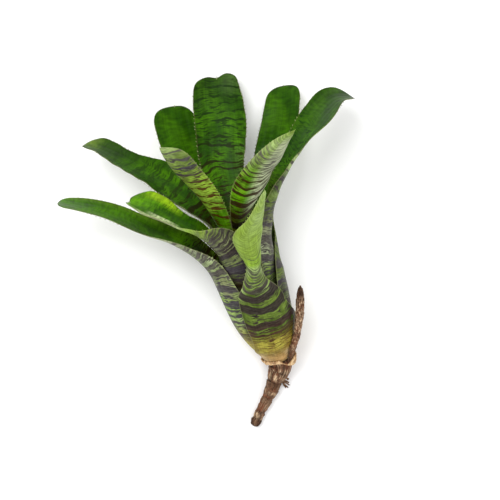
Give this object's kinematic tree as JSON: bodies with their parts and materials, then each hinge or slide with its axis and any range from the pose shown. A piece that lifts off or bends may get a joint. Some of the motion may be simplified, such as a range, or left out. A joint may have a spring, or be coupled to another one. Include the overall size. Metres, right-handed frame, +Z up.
{
  "type": "bare-rooted bromeliad plant",
  "caption": "Small banded tank bromeliad lying on its side, with arching strap leaves round a swollen tank, a woody crown and runners at its foot.",
  "frame": {"origin": "centre of the bounding box's underside, on the surface that the plant lies on", "axes": "+Z up from the surface, +Y towards the leaf tips, +X to the right of one who looks down with the tips ahead"},
  "size_m": [0.163, 0.198, 0.0963],
  "materials": {
    "leaf_green": "satin leaf skin, bright to dark green",
    "leaf_banded": "satin leaf skin, green with dark purple-grey cross bands",
    "bark": "dull, scaly and dry",
    "husk": "dull papery remains of an old leaf"
  },
  "bodies": {
    "root": {"leaf_01": "leaf_banded", "leaf_02": "leaf_green", "leaf_03": "leaf_green", "leaf_04": "leaf_green", "leaf_05": "leaf_banded", "leaf_06": "leaf_green", "leaf_07": "leaf_green", "leaf_08": "leaf_banded", "leaf_09": "leaf_banded", "leaf_10": "leaf_banded", "stem": "bark", "old_runner": "bark", "new_runner": "bark", "collar": "husk"}
  },
  "joints": []
}
